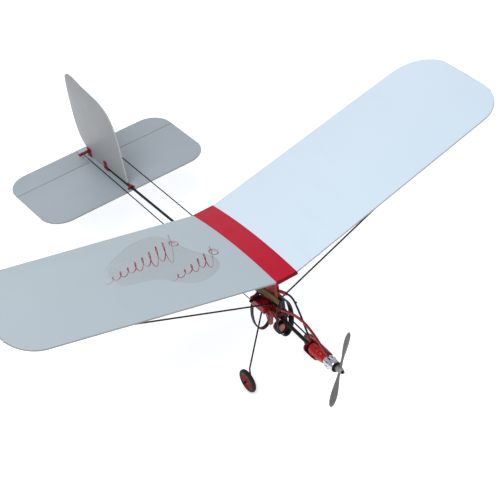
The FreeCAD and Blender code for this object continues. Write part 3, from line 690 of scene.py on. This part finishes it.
# ---------------------------------------------------------------- tail
def tail_surfaces():
    half = STAB_HIGH.x
    front, rear = STAB_LOW.y, STAB_HIGH.y
    top = STAB_HIGH.z
    thick = top - STAB_LOW.z
    middle = top - thick / 2
    radius = 23 * MM
    tongue = 8 * MM
    gap = 0.18 * MM

    def level(u, v, w):
        return Vector((u, v, middle + w))

    corners = [(-half, front), (half, front), (half, HINGE_Y - gap), (tongue, HINGE_Y - gap),
               (tongue, rear), (-tongue, rear), (-tongue, HINGE_Y - gap), (-half, HINGE_Y - gap)]
    body = rounded(corners, [radius, radius, 0, 0, 0, 0, 0, 0], 14)
    plate("stabiliser_foam", body, thick, level, FOAM_EDGE, "airframe", FOAM_TAIL_PAINTED_SHADE,
          ("stabiliser",))
    for side, name in ((1, "port"), (-1, "starboard")):
        inner = tongue + 0.35 * MM
        corners = [(side * inner, HINGE_Y + gap), (side * half, HINGE_Y + gap), (side * half, rear),
                   (side * inner, rear)]
        shape = rounded(corners, [0, 0, radius, 0], 14)
        plate("elevator_foam_" + name, shape, thick, level, FOAM_EDGE, "elevator",
              FOAM_TAIL_PAINTED_SHADE, ("elevator_" + name,))
        bm = bmesh.new()
        rings = []
        for k in range(9):
            y = HINGE_Y + (k - 4) / 4 * 1.2 * MM
            thin = (0.14 + 0.10 * abs(k - 4) / 4) * MM
            ends = (side * (inner + 0.2 * MM), side * (half - 1.0 * MM))
            rings.append([Vector((ends[0], y, middle - thin)), Vector((ends[1], y, middle - thin)),
                          Vector((ends[1], y, middle + thin)), Vector((ends[0], y, middle + thin))])
        rings_to_bmesh(bm, rings)
        web = new_piece("hinge_web_" + name, bm, 40)
        # The hinge web takes the darker foam: painted shade in the crease.
        web.data.materials.append(FOAM_GROOVE_PAINTED_SHADE)
        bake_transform(web)


def fin():
    low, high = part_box("fin")
    base = BOOM_TOP + FIN_CLEARANCE
    curve = [(273.6, -43.0), (276.0, -25.0), (279.0, 0.0), (287.5, 22.0), (305.0, 33.0), (335.0, 37.5),
             (356.0, 41.3), (366.5, 38.5), (368.8, 27.0), (368.2, 1.6), (365.0, -20.5), (358.5, -34.5),
             (348.3, -43.0)]
    outline = [(p.x, p.y) for p in spline([(y * MM, z * MM, 0) for y, z in curve], 8)]
    foot = STAB_HIGH.z + FIN_CLEARANCE
    outline += [(346.0 * MM, foot), (319.0 * MM, foot), (318.8 * MM, base), (274.0 * MM, base)]
    thick = high.x - low.x

    def upright(u, v, w):
        return Vector((w, u, v))

    plate("fin_foam", outline, thick, upright, 0.6 * MM, "rudder", FOAM_FIN_PAINTED_SHADE, ("fin",))


# ---------------------------------------------------------------- fittings
def fittings():
    riders = {"fin_clamp": "rudder", "rudder_horn": "rudder", "elevator_horn": "elevator"}
    for node, width in (("wing_pylon", 0.35), ("gear_bracket", 0.4), ("fin_clamp", 0.3),
                        ("rudder_horn", 0.3), ("elevator_horn", 0.2), ("stab_clip", 0.25),
                        ("boom_end_plug", 0.3), ("bow_foot", 0.25)):
        softened(node, node + "_moulded", width * MM, RED, riders.get(node, "airframe"))
    softened("motor_cradle", "motor_cradle_moulded", 0.25 * MM, DARK_RED)
    softened("receiver_case", "receiver_wrapped", 0.3 * MM, DARK_RED)
    softened("speed_controller", "speed_controller_wrapped", 0.3 * MM, DARK_RED)
    softened("nose_arch", "nose_arch_moulded", 0.4 * MM, RED)
    softened("bow_sleeve", "bow_sleeve_moulded", 0.2 * MM, RED)
    for node, width in (("strut_junction", 0.4), ("strut_foot_port", 0.2), ("strut_foot_starboard", 0.2),
                        ("boom_front_cap", 0.3), ("battery_cap", 0.3), ("motor_end_plate", 0.2)):
        softened(node, node + "_moulded", width * MM, BLACK)
    softened("pod_hoop_front", "pod_hoop_front_laminate", 0.3 * MM, CARBON)
    softened("pod_hoop_rear", "pod_hoop_rear_laminate", 0.3 * MM, BROWN_BLACK)
    softened("rudder_servo_case", "rudder_servo_moulded", 0.15 * MM, SERVO_RED)
    softened("elevator_servo_case", "elevator_servo_moulded", 0.15 * MM, BLACK)
    softened("rudder_servo_arm", "rudder_servo_arm_moulded", 0.15 * MM, BLACK,
             "rudder_arm")
    softened("elevator_servo_arm", "elevator_servo_arm_moulded", 0.15 * MM, BLACK,
             "elevator_arm")


def servo_details():
    """Mounting ears and a split line on each servo."""
    ear_thick, ear_long, ear_drop = 0.9 * MM, 1.3 * MM, 3.1 * MM
    seam_tall, seam_rise, seam_proud = 0.45 * MM, 3.4 * MM, 0.16 * MM
    for node, name, material, slot in (("rudder_servo_case", "rudder_servo", SERVO_RED, "servo_red"),
                                       ("elevator_servo_case", "elevator_servo", BLACK, "black_plastic")):
        low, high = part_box(node)
        middle = (low + high) / 2
        ear = (high.x - low.x - 1.2 * MM, ear_long, ear_thick)
        for where, y in (("front", low.y), ("rear", high.y)):
            block(name + "_ear_" + where, ear, (middle.x, y, high.z - ear_drop), 0.25 * MM, 3, 0.6,
                  material)
        seam = (high.x - low.x + seam_proud, high.y - low.y + seam_proud, seam_tall)
        block(name + "_seam", seam, (middle.x, middle.y, low.z + seam_rise), 0.12 * MM, 2, 0.6,
              BLACK)


def rods():
    """Carbon and wire pieces keep their CAD shape and get their finish here."""
    for node in ("tail_boom", "motor_stick", "front_bow", "wing_strut_port", "wing_strut_starboard"):
        paint_node(node, CARBON)
    for node in ("rudder_pushrod", "elevator_pushrod", "landing_gear_wire"):
        paint_node(node, WIRE)
    for node in ("elevator_joiner", "rudder_pivot_pin", "bracket_screw", "prop_shaft"):
        paint_node(node, STEEL)
    paint_node("motor_lead_red", DARK_RED)
    paint_node("motor_lead_black", BLACK)


def bow_details():
    """A small hook on the bow and a grey clip that ties the bow to the arch."""
    bow_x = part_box("bow_sleeve")[0].x + 1.6 * MM
    points = [(bow_x, -6.6 * MM, -24.6 * MM), (bow_x, -8.0 * MM, -23.6 * MM),
              (bow_x, -9.0 * MM, -24.2 * MM)]
    tube("bow_hook", spline(points, 5), 0.45 * MM, "airframe", BROWN_BLACK)
    points = [(bow_x, -14.4 * MM, -40.4 * MM), (-0.2 * MM, -15.6 * MM, -39.6 * MM),
              (-1.4 * MM, -16.6 * MM, -38.4 * MM)]
    tube("bow_clip", spline(points, 5), 0.75 * MM, "airframe", HUB_GREY)


def paint_node(node, material):
    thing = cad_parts[node]
    thing.data.materials.clear()
    thing.data.materials.append(material)


def rubber_bands():
    """Thin bands stretched round the pylon, a little uneven, as stretched rubber lies."""
    low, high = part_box("rubber_bands")
    strands = [(-34.8 - 0.86 * k, -36.6 - 1.25 * k) for k in range(BAND_STRANDS)]
    bm = bmesh.new()
    for i, (front_z, rear_z) in enumerate(strands):
        inner = 1.75 + 0.12 * math.sin(i * 2.4)
        front = low.y / MM + 0.75
        rear = high.y / MM - 0.75
        loop = []
        steps = 72
        for k in range(steps):
            t = k / steps
            turn = 2 * math.pi * t
            x = inner * max(-1, min(1, 1.5 * math.sin(turn)))
            reach = -math.cos(turn)
            y = (front + rear) / 2 + (rear - front) / 2 * math.copysign(abs(reach) ** 0.55, reach)
            share = (y - front) / (rear - front)
            sag = 0.5 * math.sin(math.pi * share) * math.sin(i * 1.7 + (1 if x > 0 else 2.2))
            z = front_z + (rear_z - front_z) * share + sag
            loop.append(Vector((x, y, z)) * MM)
        loop.append(loop[0])
        loop.append(loop[1])
        rings = tube_rings(loop, (0.36 + 0.06 * (i % 3)) * MM, 8, 1.2)
        rings_to_bmesh(bm, rings[1:-1] + [rings[1]], False)
    bmesh.ops.remove_doubles(bm, verts=bm.verts, dist=1e-6)
    finish_piece(new_piece("rubber_band_strands", bm, 60), "airframe", BAND,
                 ("rubber_bands",))


def battery():
    low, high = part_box("battery_cell")
    centre = (low + high) / 2
    r = (high.x - low.x) / 2 / MM
    length = (high.y - low.y) / MM
    wrap = [(0.3, 3.9), (0.0, 4.1), (0.0, r - 0.5), (0.25, r - 0.15), (0.7, r), (1.6, r),
            (1.8, r - 0.15), (2.1, r), (length - 0.8, r), (length - 0.3, r - 0.3), (length, r - 0.9),
            (length, 0.01), (0.8, 0.01), (0.8, 3.9)]
    lathe("battery_wrap", wrap, (centre.x, low.y, centre.z), (0, 1, 0), "airframe",
          DARK_RED, ("battery_cell",), 64)
    end = [(0.75, 0.01), (-0.3, 0.01), (-0.3, 1.3), (-0.1, 1.5), (0.1, 1.6), (0.1, 3.6), (0.3, 3.85),
           (0.75, 3.85)]
    lathe("battery_end", end, (centre.x, low.y, centre.z), (0, 1, 0), "airframe", CELL_PINK,
          ("battery_cell",), 64)
    bm = bmesh.new()
    for i, x in enumerate((-5.4, -4.6, -3.8, -3.0)):
        start = Vector((x, 17.2 + i, -60.9 + 0.4 * i)) * MM
        middle = Vector((x - 0.6, 15.6, -57.0)) * MM
        end = Vector((x - 0.4, 27.0, -50.0 - 0.6 * i)) * MM
        rings_to_bmesh(bm, tube_rings(spline([start, middle, (middle + end) / 2, end], 8), 0.42 * MM, 8))
    finish_piece(new_piece("battery_leads", bm), "airframe", SERVO_RED)


def receiver_details():
    """Crimped ribs along the wrapped receiver, and the tape band round it."""
    low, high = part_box("receiver_case")
    middle = (low + high) / 2
    bm = bmesh.new()
    for k in range(5):
        x = low.x + (high.x - low.x) * (0.14 + 0.18 * k)
        for z in (high.z - 0.05 * MM, low.z + 0.05 * MM):
            points = [(x, low.y + 0.8 * MM, z), (x, middle.y, z), (x, high.y - 0.8 * MM, z)]
            rings_to_bmesh(bm, tube_rings(points, 0.32 * MM, 8))
    finish_piece(new_piece("receiver_ribs", bm), "airframe", SERVO_RED)
    tape = (high.x - low.x + 0.2 * MM, 2.4 * MM, high.z - low.z + 0.2 * MM)
    place = (middle.x, high.y - 2.6 * MM, middle.z)
    block("receiver_tape", tape, place, 0.5 * MM, 4, 0.5, BLACK)


def rod_sleeves():
    """Dark shrink tubing along the straight run of each pushrod."""
    for node, body in (("rudder_pushrod", "rudder_rod"), ("elevator_pushrod", "elevator_rod")):
        low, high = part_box(node)
        start = Vector((low.x + 0.4 * MM, low.y + 0.4 * MM, high.z - 0.4 * MM))
        if node == "rudder_pushrod":
            end = Vector((high.x - 0.4 * MM, high.y - 0.4 * MM, start.z))
        else:
            start.x = hook_x("elevator_servo_arm")
            end = Vector((high.x - 0.4 * MM, high.y - 0.4 * MM, start.z))
        points = [start.lerp(end, t) for t in (0.04, 0.3, 0.6, 0.955)]
        tube(node + "_sleeve", points, 0.55 * MM, body, WIRE)


def hook_x(node):
    """Where the rod's hook sits in a servo arm: the radius of its rounded end in from the tip."""
    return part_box(node)[1].x - 1.6 * MM


# ---------------------------------------------------------------- wheels
def wheels():
    for side, name in ((1, "port"), (-1, "starboard")):
        low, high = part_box("tyre_" + name)
        centre = (low + high) / 2
        body = "wheel_" + name
        half = (high.x - low.x) / 2 / MM
        radius = (high.z - low.z) / 2 / MM
        tyre = []
        for k in range(19):
            turn = math.pi * k / 18
            out = (radius - WHEEL_RIM) * 0.98 * math.sin(turn) ** 0.72
            tyre.append((-half * math.cos(turn), WHEEL_RIM + 0.15 + out))
        for k, (a, r) in enumerate(tyre):
            if abs(a) < 1.25 and k % 2:
                tyre[k] = (a, r - 0.12)
        tyre += [(half * 0.8, WHEEL_RIM - 0.25), (-half * 0.8, WHEEL_RIM - 0.25)]
        lathe("tyre_tread_" + name, tyre, centre, (1, 0, 0), body, TYRE,
              ("tyre_" + name,), 96, 60)
        dish = [(-1.75, WHEEL_RIM - 0.3), (-1.9, WHEEL_RIM - 0.75), (-1.55, WHEEL_RIM - 1.15),
                (-0.95, WHEEL_RIM - 1.5), (-0.55, 5.2), (-0.35, 3.1), (-0.75, 2.35), (-1.8, 2.05),
                (-1.95, 1.7), (-1.95, AXLE_BORE), (2.3, AXLE_BORE), (2.3, 1.55), (2.15, 1.8),
                (1.1, 2.25), (0.55, 3.1), (0.45, 5.2), (0.9, WHEEL_RIM - 1.5), (1.55, WHEEL_RIM - 1.15),
                (1.9, WHEEL_RIM - 0.75), (1.75, WHEEL_RIM - 0.3)]
        dish = [(a * side, r) for a, r in dish]
        lathe("wheel_dish_" + name, dish, centre, (1, 0, 0), body, HUB_RED,
              ("wheel_hub_" + name,), 72, 40)
        bm = bmesh.new()
        for face in (-1, 1):
            for k in range(SPOKES):
                turn = 2 * math.pi * (k + 0.5) / SPOKES
                out = Vector((0, math.cos(turn), math.sin(turn)))
                points = [centre + out * r * MM + Vector((face * a * MM, 0, 0))
                          for r, a in ((2.7, 0.55), (4.0, 0.62), (5.2, 0.66), (6.3, 0.95), (6.9, 1.2))]
                rings_to_bmesh(bm, tube_rings(points, 0.28 * MM, 6))
        finish_piece(new_piece("wheel_ribs_" + name, bm), body, HUB_RED)
    low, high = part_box("wheel_collars")
    y, z = (low.y + high.y) / 2, (low.z + high.z) / 2
    profile = [(0, 0.78), (0, 1.3), (0.2, 1.5), (0.75, 1.5), (0.85, 1.35), (0.95, 1.5), (1.6, 1.5),
               (COLLAR_WIDTH, 1.3), (COLLAR_WIDTH, 0.78)]
    width = COLLAR_WIDTH * MM
    for name, x, way in (("port", high.x - width, 1), ("starboard", low.x + width, -1)):
        lathe("collar_" + name, profile, (x, y, z), (way, 0, 0), "airframe", BLACK,
              ("wheel_collars",), 40)


# ---------------------------------------------------------------- motor and propeller
def motor():
    axis = (0, -1, 0)
    back = SLEEVE_HIGH.y
    sleeve_profile = [(0, 1.9), (0, 3.4), (0.5, 4.4), (1.3, 5.1), (2.6, 5.65), (4.6, 6.0), (7.5, 6.12),
                      (10.5, 6.05), (12.3, 5.95), (12.5, 5.8), (12.8, 5.93), (17.0, 5.55), (17.2, 5.4),
                      (17.5, 5.5), (21.2, 5.12), (22.2, 5.0), (22.6, 4.85), (22.6, 4.65), (2.6, 4.65),
                      (2.6, 1.9)]
    lathe("motor_sleeve_turned", sleeve_profile, (0, back, MOTOR_Z), axis, "airframe",
          ANODISED, ("motor_sleeve",), 72)
    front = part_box("motor_can")[0].y
    can = [(0, 0.85), (0, 4.3), (-0.3, 4.7), (-1.1, 5.05), (-1.5, 5.1), (-1.7, 5.3), (-4.2, 5.5),
           (-4.4, 5.35), (-4.9, 5.35), (-5.1, 5.6), (-8.8, 5.7), (-9.1, 5.5), (-9.5, 5.5), (-9.8, 5.65),
           (-11.2, 5.5), (-11.8, 5.1), (-11.9, 4.5), (-32.0, 4.45), (-32.0, 2.0), (-12.5, 2.0),
           (-12.5, 0.85)]
    lathe("motor_can_turned", can, (0, front, MOTOR_Z), axis, "airframe", SILVER,
          ("motor_can",), 72)
    # Painted reflection: black strips round the can for the dark bands a shiny can mirrors.
    bm = bmesh.new()
    for k in range(CAN_REFLECTION_BANDS):
        turn = 2 * math.pi * k / CAN_REFLECTION_BANDS
        out = Vector((math.cos(turn), 0, math.sin(turn)))
        at = Vector((0, 0, MOTOR_Z))
        points = [at + out * 5.45 * MM + Vector((0, front + a * MM, 0)) for a in (5.6, 6.4, 7.4, 8.3)]
        rings_to_bmesh(bm, tube_rings(points, 0.5 * MM, 8))
    finish_piece(new_piece("motor_can_painted_reflection_bands", bm), "airframe", BLACK)


def propeller():
    spin = Matrix.Translation((0, 0, MOTOR_Z)) @ Matrix.Rotation(PROP_REST_TURN, 4, "Y")
    bm = bmesh.new()
    stations = [(1.5, 2.4, 2.2, 42), (4.0, 2.3, 1.9, 36), (7.0, 2.6, 1.6, 30), (10.0, 3.3, 1.35, 24),
                (14.0, 4.7, 1.15, 17), (18.0, 6.0, 1.0, 13), (22.0, 7.0, 0.9, 10), (26.0, 7.5, 0.8, 8),
                (30.0, 7.3, 0.7, 7), (33.0, 6.4, 0.6, 6), (35.2, 4.9, 0.5, 6), (36.4, 3.2, 0.4, 6),
                (36.9, 1.5, 0.3, 6)]
    for flip in (0, 1):
        rings = []
        for r, width, thick, pitch in stations:
            ring = []
            for k in range(BLADE_POINTS):
                a = 2 * math.pi * k / BLADE_POINTS
                u = math.cos(a) * width / 2
                belly = 0.35 * thick if math.sin(a) > 0 else -0.12 * thick
                w = math.sin(a) * thick / 2 + belly * (1 - (u / (width / 2)) ** 2)
                p = Matrix.Rotation(math.radians(pitch), 3, "Z") @ Vector((u, w, 0))
                ring.append(Vector((p.x * MM, PROP_Y + p.y * MM, r * MM)))
            rings.append(ring)
        turn = Matrix.Rotation(math.pi * flip, 4, "Y")
        rings = [[spin @ (turn @ p) for p in ring] for ring in rings]
        rings_to_bmesh(bm, rings)
    finish_piece(new_piece("propeller_blades", bm, 50), "prop", GREY, ("propeller",))
    hub = [(61.7, 0.8), (61.7, 2.1), (62.0, 2.4), (63.2, 2.5), (63.6, 2.75), (64.0, 2.85), (67.4, 2.85),
           (68.0, 2.5), (69.0, 2.3), (69.4, 1.9), (69.4, 0.8)]
    lathe("propeller_hub", hub, (0, 0, MOTOR_Z), (0, -1, 0), "prop", HUB_GREY,
          ("propeller",), 48)
    nut = [(69.4, 0.8), (69.4, 1.65), (70.6, 1.6), (71.2, 1.2), (71.4, 0.8)]
    lathe("propeller_nut", nut, (0, 0, MOTOR_Z), (0, -1, 0), "prop", BLACK, ("prop_nut",),
          6, 20)


# ---------------------------------------------------------------- stage
def stage():
    floor_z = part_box("tyre_port")[0].z - 0.2 * MM
    bm = bmesh.new()
    bmesh.ops.create_grid(bm, x_segments=4, y_segments=4, size=FLOOR_SIZE)
    bmesh.ops.translate(bm, vec=(0, 0, floor_z), verts=bm.verts)
    floor = new_piece("floor", bm)
    material = bpy.data.materials.new("pale_floor")
    material.use_nodes = True
    shader = material.node_tree.nodes["Principled BSDF"]
    shader.inputs["Base Color"].default_value = (0.95, 0.95, 0.95, 1)
    shader.inputs["Roughness"].default_value = 0.9
    shader.inputs["Specular IOR Level"].default_value = 0.0
    shader.inputs["Emission Color"].default_value = (1, 1, 1, 1)
    shader.inputs["Emission Strength"].default_value = FLOOR_GLOW
    floor.data.materials.append(material)
    world = bpy.data.worlds.new("studio")
    world.use_nodes = True
    world.node_tree.nodes["Background"].inputs[0].default_value = (0.93, 0.96, 1.0, 1)
    world.node_tree.nodes["Background"].inputs[1].default_value = SKY_STRENGTH
    bpy.context.scene.world = world
    for name, place, size, power, aim in (
            ("key", (-1.1, -0.5, 1.9), 1.6, 30.0, (0, 0.1, 0)),
            ("fill", (1.2, -1.6, 1.2), 1.8, 7.0, (0, 0.1, 0)),
            ("rim", (0.4, 1.8, 1.2), 1.4, 6.0, (0, 0.1, 0))):
        light = bpy.data.lights.new(name, "AREA")
        light.size = size
        light.energy = power
        lamp = bpy.data.objects.new(name, light)
        lamp.location = place
        lamp.rotation_euler = (Vector(aim) - Vector(place)).to_track_quat("-Z", "Y").to_euler()
        bpy.context.scene.collection.objects.link(lamp)


def camera():
    """Looks down from ahead on the starboard side, rolled a little."""
    place = Vector((-0.58180, -0.96442, 0.90730))
    forward = Vector((0.39165, 0.68651, -0.61263)).normalized()
    up = Vector((0.42947, 0.45245, 0.78157))
    right = forward.cross(up).normalized()
    up = right.cross(forward)
    view = Matrix((right, up, -forward)).transposed().to_4x4()
    view.translation = place
    lens = bpy.data.cameras.new("camera")
    lens.sensor_width = SENSOR_WIDTH
    lens.lens = LENS
    lens.clip_start = 0.01
    lens.clip_end = 50
    eye = bpy.data.objects.new("camera", lens)
    eye.matrix_world = view
    bpy.context.scene.collection.objects.link(eye)
    bpy.context.scene.camera = eye
    bpy.context.scene.view_settings.view_transform = "Standard"


camera()
stage()
wing_panel(1, "wing_foam_port", "wing_panel_port", FOAM_PORT_PAINTED_LIT)
wing_panel(-1, "wing_foam_starboard", "wing_panel_starboard", FOAM_STARBOARD_PAINTED_SHADE)
wing_strip()
wing_decal()
tail_surfaces()
fin()
fittings()
servo_details()
rods()
bow_details()
rubber_bands()
battery()
receiver_details()
rod_sleeves()
wheels()
motor()
propeller()
